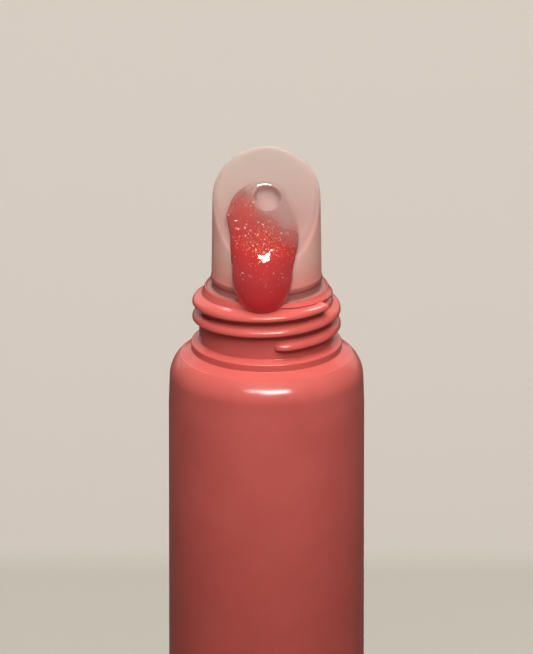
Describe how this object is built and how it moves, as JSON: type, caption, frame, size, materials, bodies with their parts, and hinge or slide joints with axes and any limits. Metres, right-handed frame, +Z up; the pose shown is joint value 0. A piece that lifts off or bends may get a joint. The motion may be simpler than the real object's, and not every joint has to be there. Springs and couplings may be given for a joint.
{
  "type": "lip gloss tube",
  "caption": "Squeezable round tube with a rolled shoulder, step ring and threaded neck, a slanted frosted soft tip and a bead of glitter gel on its face.",
  "frame": {"origin": "centre of the base, on the surface the tube stands on", "axes": "+Z up along the tube's axis towards the tip; -Y is the front, where the slanted face, its hole and the bead are"},
  "size_m": [0.019, 0.019, 0.0905],
  "materials": {
    "sleeve": "satin coral polyethylene",
    "head": "satin coral polyethylene, moulded",
    "base": "satin coral polyethylene, moulded",
    "carrier": "natural polypropylene",
    "tip": "frosted translucent silicone",
    "gloss": "wet translucent gel",
    "glitter": "mirror-like flakes of coated film"
  },
  "bodies": {
    "root": {"tube_sleeve": "sleeve", "tube_head": "head", "base_plug": "base", "tip_carrier": "carrier", "applicator_tip": "tip", "gloss_fill": "gloss", "gloss_bead": "gloss", "glitter": "glitter"}
  },
  "joints": []
}
